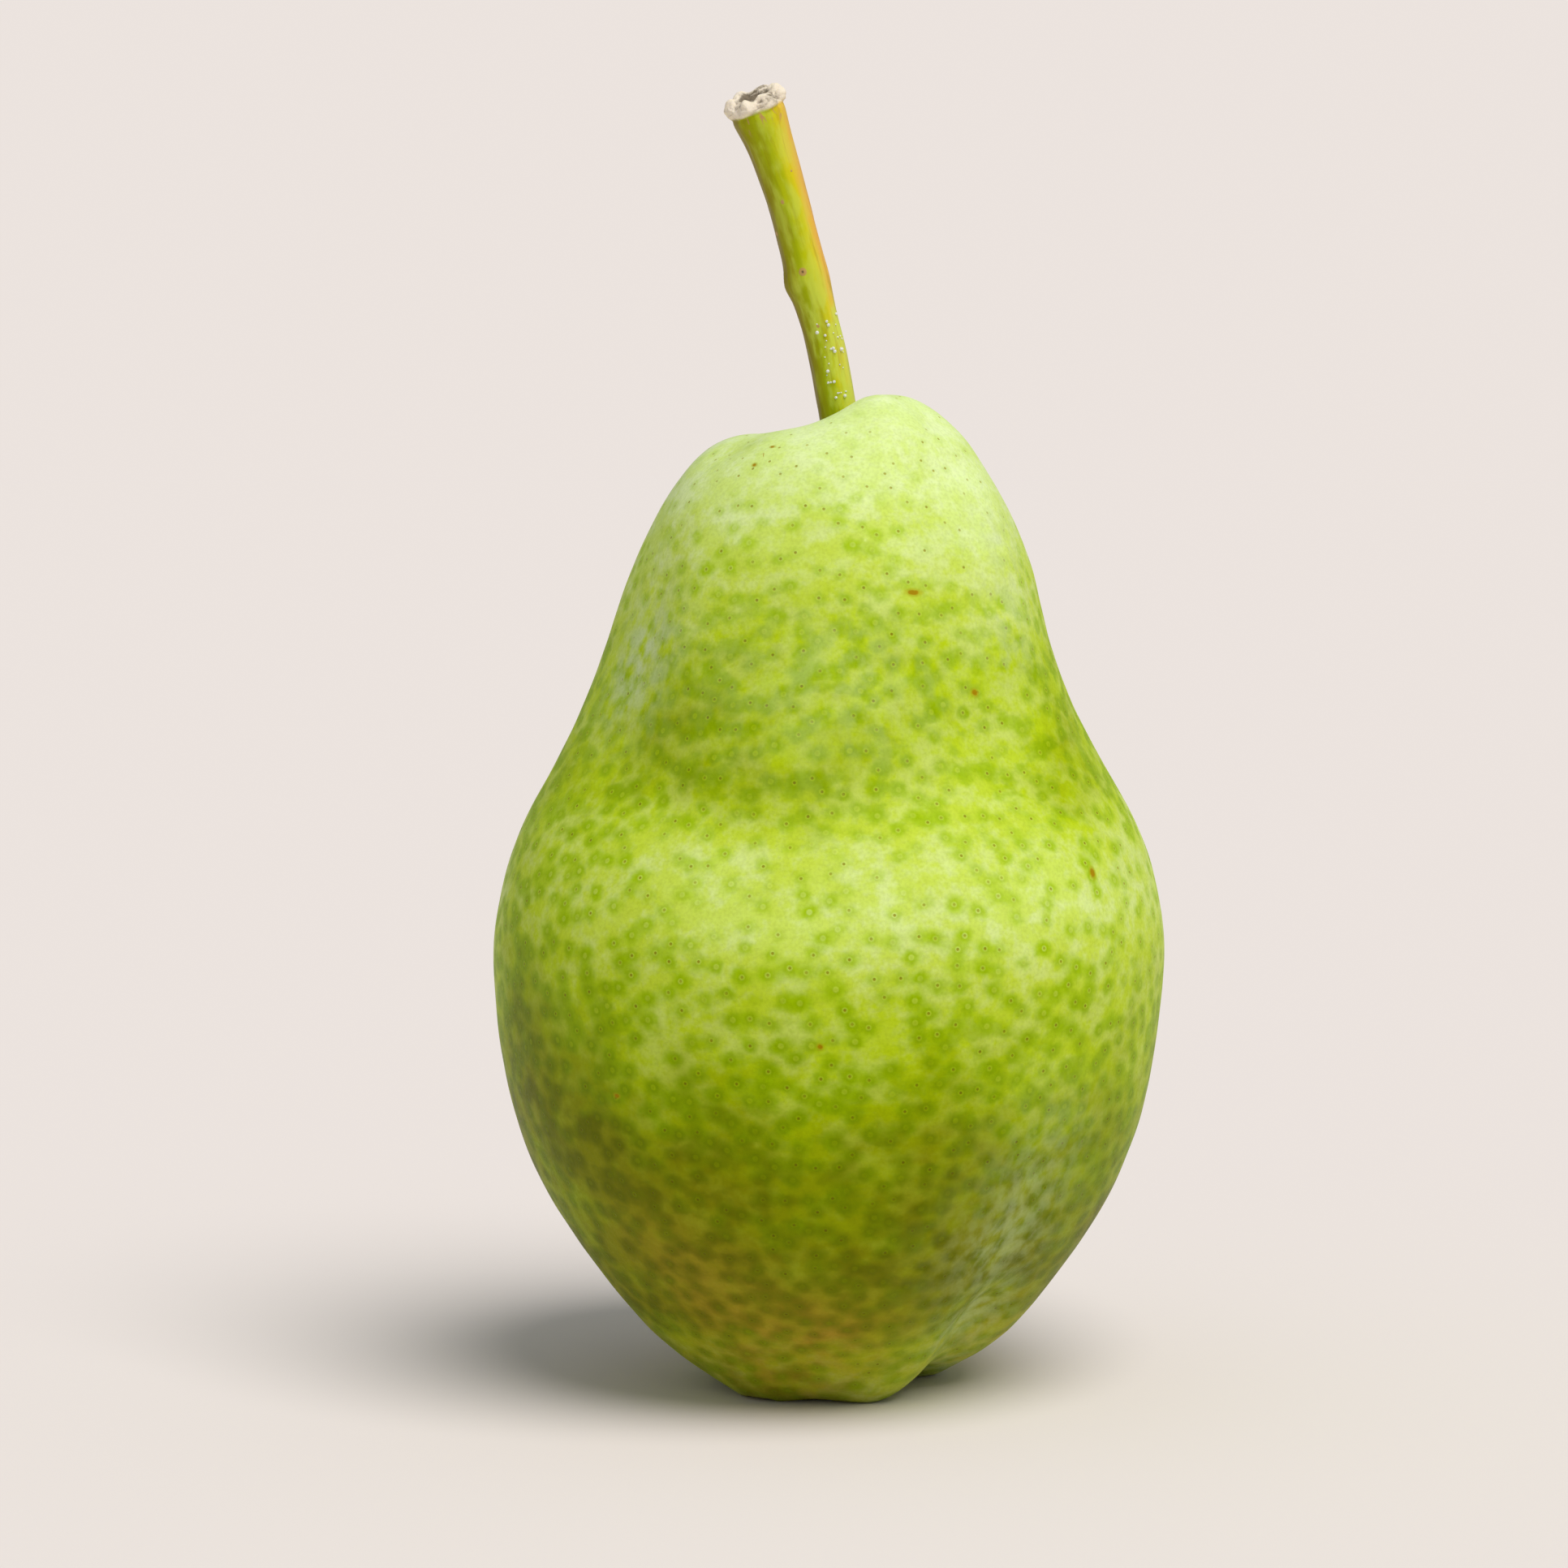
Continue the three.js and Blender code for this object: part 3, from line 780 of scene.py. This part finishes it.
def skin_material():
    s = Shading("skin")
    # Paleness here carries painted light and shade as well as the skin's own tones
    pale_and_shading = s.attribute("paleness_and_shading")
    tone = pale_and_shading
    for size, swing, stretch in TONE_NOISES:
        tone = s.math("ADD", tone, s.swing(s.noise(size, 3, stretch), swing))
    warp = s.vectors("ADD", *[s.warp(size, reach) for size, reach in HALO_WARPS_MM])
    # The brown mask mixes the skin's own brown at the base with painted bounce light and shade in the band
    # above it at the front
    brown_and_bounce = s.math("MULTIPLY", s.attribute("brown_and_bounce"), s.step(s.noise(BROWN_AND_BOUNCE_NOISE_MM, 3), *BROWN_AND_BOUNCE_STEP))
    ground = s.mix(brown_and_bounce, skin_ground(s, pale_and_shading, tone), BROWN_AND_BOUNCE_COLOUR)
    green = s.mix(brown_and_bounce, s.ramp(tone, HALO_TONES), BROWN_AND_BOUNCE_HALO_COLOUR)
    colour = s.mix(skin_halos(s, warp), ground, green)

    offset = s.attribute("spot_a", "Vector")
    away = s.vectors("LENGTH", offset)
    uneven = s.vectors("LENGTH", s.vectors("ADD", offset, s.warp(*CORE_WARP_MM)))
    core = s.math("MULTIPLY", s.step(uneven, *CORE_STEP_MM), s.attribute("core"))
    colour = s.mix(core, colour, s.ramp(tone, CORE_TONES))
    ring = s.step(away, *RING_STEP_MM, s.parts(s.attribute("look_a", "Color"))[2], 0.0)
    rim_colour = s.ramp(s.math("ADD", tone, RING_PALER), GROUND_TONES)
    colour = s.mix(s.math("MULTIPLY", ring, RING_SHARE), colour, rim_colour)
    dot = s.step(away, *DOT_STEP_MM, s.attribute("look_a", "Alpha"), 0.0)
    colour = s.mix(s.math("MULTIPLY", dot, DOT_SHARE), colour, s.ramp(tone, DOT_TONES))

    streaks = s.noise(BLOOM_MM, 5, BLOOM_STRETCH)
    bloom = s.math("MULTIPLY", s.attribute("bloom"), s.step(streaks, *BLOOM_STEP))
    colour = s.mix(bloom, colour, BLOOM_COLOUR)
    rust = s.vectors("LENGTH", s.vectors("ADD", s.attribute("rust", "Vector"), warp))
    colour = s.mix(s.step(rust, *RUST_EDGE_STEP), colour, RUST_EDGE_COLOUR)
    colour = s.mix(s.step(rust, *RUST_STEP), colour, RUST_COLOUR)
    grain = s.noise(GRAIN_MM, 4)
    colour = s.mix(s.step(grain, *GRAIN_STEP), colour, GRAIN_COLOUR)

    rims = s.math("SUBTRACT", s.math("MULTIPLY", ring, RING_HEIGHT), dot)
    height = s.math("ADD", s.math("MULTIPLY", grain, GRAIN_HEIGHT), rims)
    s.bump(s.math("ADD", height, s.noise(PORE_MM, 3)), SKIN_BUMP_MM, SKIN_BUMP_STRENGTH)
    roughness = s.math("MULTIPLY_ADD", bloom, BLOOM_ROUGHNESS, s.step(grain, *SKIN_ROUGHNESS_BY_GRAIN))
    s.set(Base_Color=colour, Roughness=roughness, Specular_IOR_Level=0.06, Specular_Tint=(0.95, 1, 0.3, 1),
          Subsurface_Weight=0.1, Subsurface_Radius=(1.0, 1.0, 0.2), Subsurface_Scale=1.2 * MM)
    return s.material


def make_fruit():
    stem_tree = tree_of(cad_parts["stem"].data)
    flesh_tree = tree_of(closed_flesh(stem_tree))
    mesh = fruit_mesh(flesh_tree, stem_tree)
    mark_skin(mesh, flesh_tree)
    fruit = finish_piece("pear_fruit", mesh, skin_material())
    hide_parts("fruit")


def along_stem(places):
    """Share of the stem's length at each place, the way out of its middle line, and how far out in mm"""
    line = np.array(STEM_LINE_MM) + STEM_SHIFT_MM
    lengths = np.concatenate([[0], np.cumsum(np.linalg.norm(np.diff(line, axis=0), axis=1))])
    samples = np.linspace(0, lengths[-1], STEM_SAMPLES)
    middle = np.stack([np.interp(samples, lengths, line[:, axis]) for axis in range(3)], 1) * MM
    tree = tree_of_points(middle)
    nearest = np.array([tree.find(place)[1] for place in places])
    out = places - middle[nearest]
    far = np.linalg.norm(out, axis=1)
    return nearest / (STEM_SAMPLES - 1), out / np.maximum(far, 1e-9)[:, None], far / MM


def fibres(out, share):
    """Lengthwise ridges round the stem"""
    points = np.column_stack([out[:, 0], out[:, 1], FIBRE_TURNS_ALONG * share])
    return sum(height * lumps(points * turns * MM, 1) for turns, height in FIBRES_MM)


def shape_stem(mesh):
    """Fibres, the bud scar and the corky end, and the layers that the stem's material reads"""
    places = places_of(mesh)
    share, out, far = along_stem(places)
    cork = smooth_step(share, *CORK_SETS_IN)
    bud = np.exp(-((share - BUD_SHARE) / BUD_LENGTH) ** 2) * np.clip(out @ np.array(BUD_SIDE), 0, 1) ** 2
    rim = smooth_step(far, *CORK_RIM_MM)
    rough = unevenness(places, CORK_LUMPS_MM)
    turn = np.arctan2(out[:, 1], out[:, 0])
    lobes = CORK_LOBE_MM * np.cos(CORK_LOBES * turn + unevenness(places, CORK_LOBE_SWAY))
    push_out(mesh, fibres(out, share) * (1 - cork) + BUD_HEIGHT_MM * bud + cork * (rough + rim * lobes))
    crevice = np.clip(CREVICE_BASE - CREVICE_PER_LUMP * rough, 0, 1) + (1 - rim) * CREVICE_INSIDE_RIM
    straight = np.column_stack([out[:, 0] * far, out[:, 1] * far, share * STEM_LENGTH_MM]) * MM
    store(mesh, "flank", "FLOAT", "POINT", out[:, 0])
    store(mesh, "share", "FLOAT", "POINT", share)
    store(mesh, "straight", "FLOAT_VECTOR", "POINT", straight)
    store(mesh, "cork", "FLOAT", "POINT", cork)
    store(mesh, "crevice", "FLOAT", "POINT", cork * crevice)
    mark_stem_lenticels(mesh)


def mark_stem_lenticels(mesh):
    """Distance to the nearest lenticel of the stem, in its radii"""
    tree = tree_of(mesh)
    places = places_of(mesh)
    nearest = np.full(len(places), float(FAR_AWAY))
    for column, row, radius in STEM_LENTICELS:
        spot = np.array(seen_at(tree, column, row)[0])
        nearest = np.minimum(nearest, np.linalg.norm(places - spot, axis=1) / (radius * MM))
    store(mesh, "lenticel", "FLOAT", "POINT", nearest)


def bark_colour(s, share, straight, streaks):
    """Colour of the stem below its cork: tones from side to side, darker at both edges with painted shade,
    pale patches, an orange flank and veins
    """
    side = s.attribute("flank")
    flank = s.math("ADD", side, s.swing(streaks, STREAK_SWING))
    colour = s.ramp(s.math("MULTIPLY_ADD", flank, 0.5, 0.5), STEM_TONES_AND_EDGE_SHADE)
    pale_side = s.math("MULTIPLY", s.step(share, *PALE_SIDE_BY_SHARE), s.step(flank, *PALE_SIDE_BY_FLANK))
    colour = s.mix(pale_side, colour, STEM_FRESH_COLOUR)
    fresh = s.math("MULTIPLY", s.step(share, *FRESH_BY_SHARE), s.step(flank, *FRESH_BY_FLANK))
    blotches = s.step(s.noise(FRESH_MM, 4, FRESH_STRETCH, place=straight), *FRESH_STEP)
    colour = s.mix(s.math("MULTIPLY", fresh, blotches), colour, STEM_FRESH_COLOUR)
    length = s.math("MULTIPLY", s.step(share, *ORANGE_SETS_IN), s.step(share, *ORANGE_FADES))
    orange = s.math("MULTIPLY", s.step(side, *ORANGE_BY_FLANK), length)
    colour = s.mix(s.math("MULTIPLY", orange, ORANGE_SHARE), colour, STEM_ORANGE_COLOUR)
    veins = s.step(s.noise(VEIN_MM, 3, VEIN_STRETCH, place=straight), *VEIN_STEP)
    colour = s.mix(veins, colour, STEM_VEIN_COLOUR)
    cracks = s.step(s.noise(CRACK_MM, 2, CRACK_STRETCH, place=straight), *CRACK_STEP)
    return s.mix(s.math("MULTIPLY", s.step(share, *CRACKS_SET_IN), cracks), colour, CRACK_COLOUR)


def stem_material():
    s = Shading("stem_bark")
    straight = s.attribute("straight", "Vector")
    streaks = s.noise(STREAK_MM, 3, STREAK_STRETCH, place=straight)
    colour = bark_colour(s, s.attribute("share"), straight, streaks)
    spot = s.attribute("lenticel")
    colour = s.mix(s.step(spot, *SPOT_STEP), colour, CRACK_COLOUR)
    colour = s.mix(s.step(spot, *PIT_STEP), colour, PIT_COLOUR)
    cork = s.attribute("cork")
    colour = s.mix(s.step(cork, *CORK_STEP), colour, CORK_COLOUR)
    crevice = s.math("ADD", s.attribute("crevice"), s.swing(s.noise(CREVICE_MM, 3), CREVICE_SWING))
    colour = s.mix(s.step(crevice, *CREVICE_STEP), colour, PIT_COLOUR)

    rough = s.math("MULTIPLY_ADD", cork, CORK_GRAIN_HEIGHT, BARK_GRAIN_HEIGHT)
    grain = s.math("MULTIPLY", s.noise(BARK_GRAIN_MM, 3), rough)
    spots = s.math("MULTIPLY", s.step(spot, *SPOT_RISES), SPOT_HEIGHT)
    s.bump(s.math("ADD", s.math("ADD", streaks, spots), grain), STEM_BUMP_MM, STEM_BUMP_STRENGTH)
    s.set(Base_Color=colour, Roughness=s.step(cork, *STEM_ROUGHNESS_BY_CORK), Specular_IOR_Level=0.2,
          Specular_Tint=(1, 1, 0.4, 1), Subsurface_Weight=0.08, Subsurface_Radius=(1.0, 0.8, 0.2),
          Subsurface_Scale=0.8 * MM)
    return s.material


def dew_material():
    s = Shading("dew")
    roughness = s.step(s.noise(DEW_NOISE_MM), *DEW_ROUGHNESS)
    # Painted highlight: the beads are white and only partly clear, so they show as white specks where their
    # highlights would be
    s.set(Base_Color=(1, 1, 1, 1), Roughness=roughness, IOR=1.33, Transmission_Weight=0.3)
    return s.material


def make_dew(stem_mesh):
    """Small beads of water on the front of the lower stem"""
    places = places_of(stem_mesh)
    normals = normals_of(stem_mesh)
    share, out, _ = along_stem(places)
    low, high = DEW_SHARE
    wet = (share > low) & (share < high) & (out @ np.array(DEW_SIDE) > DEW_SPREAD)
    beads = bmesh.new()
    for i in rng.choice(np.flatnonzero(wet), DEW_COUNT, replace=False):
        radius = between(DEW_RADIUS_MM, rng.random() ** DEW_SMALLNESS) * MM
        bead = bmesh.ops.create_icosphere(beads, subdivisions=2, radius=radius)["verts"]
        middle = places[i] + DEW_STANDS_OUT * radius * normals[i]
        bmesh.ops.translate(beads, verts=bead, vec=Vector(middle))
    finish_piece("stem_dew", mesh_of("stem_dew", beads), dew_material())


def make_stem():
    mesh = subdivided(cage_of("stem"), STEM_SUBDIVISIONS)
    shape_stem(mesh)
    stem = finish_piece("pear_stem", mesh, stem_material())
    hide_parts("stem")
    make_dew(mesh)


def calyx_material():
    s = Shading("calyx_dry")
    fibre = s.noise(CALYX_FIBRE_MM, 4, CALYX_FIBRE_STRETCH)
    colour = s.mix(s.step(fibre, *CALYX_STEP), CALYX_DARK_COLOUR, CALYX_LIGHT_COLOUR)
    s.bump(fibre, CALYX_BUMP_MM, CALYX_BUMP_STRENGTH)
    s.set(Base_Color=colour, Roughness=s.step(fibre, *CALYX_ROUGHNESS), Specular_IOR_Level=0.2)
    return s.material


def add_stamen(threads, middle, turn):
    """One thread with a knob near its tip, bending down and outwards"""
    outwards = Vector((math.cos(turn), math.sin(turn), 0))
    length = between(STAMEN_LENGTH_MM, rng.random()) * MM
    lean = between(STAMEN_LEAN, rng.random())
    root = middle + outwards * between(STAMEN_RING_MM, rng.random()) * MM
    rings = []
    for step in range(STAMEN_STEPS + 1):
        t = step / STAMEN_STEPS
        centre = root + outwards * (lean * t * t * length)
        centre.z -= t * length
        knob = STAMEN_KNOB if step == STAMEN_STEPS - 1 else 0
        width = STAMEN_RADIUS_MM * MM * (1 - STAMEN_TAPER * t + knob)
        angles = np.arange(STAMEN_SIDES) * 2 * math.pi / STAMEN_SIDES
        spokes = [width * Vector((math.cos(a), math.sin(a), 0)) for a in angles]
        rings.append([threads.verts.new(centre + spoke) for spoke in spokes])
    for lower, upper in zip(rings, rings[1:]):
        for i in range(STAMEN_SIDES):
            j = (i + 1) % STAMEN_SIDES
            threads.faces.new((lower[i], upper[i], upper[j], lower[j]))
    threads.faces.new(rings[0])
    threads.faces.new(rings[-1][::-1])


def stamens():
    """Dried threads out of the middle of the calyx"""
    low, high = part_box("calyx")
    root_height = high.z - STAMEN_ROOT_DEPTH * (high.z - low.z)
    middle = Vector(((low.x + high.x) / 2, (low.y + high.y) / 2, root_height))
    threads = bmesh.new()
    shares = (np.arange(STAMEN_COUNT) + STAMEN_UNEVEN * rng.random(STAMEN_COUNT)) / STAMEN_COUNT
    for turn in 2 * math.pi * shares:
        add_stamen(threads, middle, turn)
    bmesh.ops.recalc_face_normals(threads, faces=threads.faces)
    return mesh_of("calyx_stamens", threads)


def make_calyx():
    material = calyx_material()
    mesh = subdivided(cage_of("calyx"), CALYX_SUBDIVISIONS)
    push_out(mesh, unevenness(places_of(mesh), CALYX_LUMPS_MM))
    calyx = finish_piece("pear_calyx", mesh, material)
    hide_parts("calyx")
    finish_piece("calyx_stamens", stamens(), material)


def make_floor():
    disc = bmesh.new()
    bmesh.ops.create_circle(disc, cap_ends=True, segments=FLOOR_SIDES, radius=FLOOR_RADIUS)
    mesh = mesh_of("floor", disc)
    s = Shading("floor")
    s.set(Base_Color=FLOOR_COLOUR, Roughness=1.0, Specular_IOR_Level=0.0)
    mesh.materials.append(s.material)
    link("floor", mesh)


def make_key():
    light = bpy.data.lights.new("key", "SUN")
    light.energy = KEY_STRENGTH
    light.color = KEY_COLOUR
    light.angle = KEY_SPREAD
    link("key", light).rotation_euler = (-KEY_FROM).to_track_quat("-Z", "Y").to_euler()


def make_sky():
    """Even light from all round. The camera sees it in the shade of the lit floor, so no horizon shows."""
    key_share = KEY_STRENGTH * KEY_FROM.z / math.pi
    lit = [key_share * key + SKY_STRENGTH * sky for key, sky in zip(KEY_COLOUR, SKY_COLOUR)]
    world = bpy.data.worlds.new("studio")
    world.use_nodes = True
    nodes = world.node_tree.nodes
    links = world.node_tree.links
    sky = nodes["Background"]
    sky.inputs["Color"].default_value = (*SKY_COLOUR, 1)
    sky.inputs["Strength"].default_value = SKY_STRENGTH
    seen = nodes.new("ShaderNodeBackground")
    seen.inputs["Color"].default_value = (*[light * floor for light, floor in zip(lit, FLOOR_COLOUR)], 1)
    pick = nodes.new("ShaderNodeMixShader")
    links.new(nodes.new("ShaderNodeLightPath").outputs["Is Camera Ray"], pick.inputs[0])
    links.new(sky.outputs[0], pick.inputs[1])
    links.new(seen.outputs[0], pick.inputs[2])
    links.new(pick.outputs[0], nodes["World Output"].inputs[0])
    bpy.context.scene.world = world
    bpy.context.scene.view_settings.view_transform = "Standard"


make_camera()
make_key()
make_sky()
make_floor()
make_fruit()
make_stem()
make_calyx()
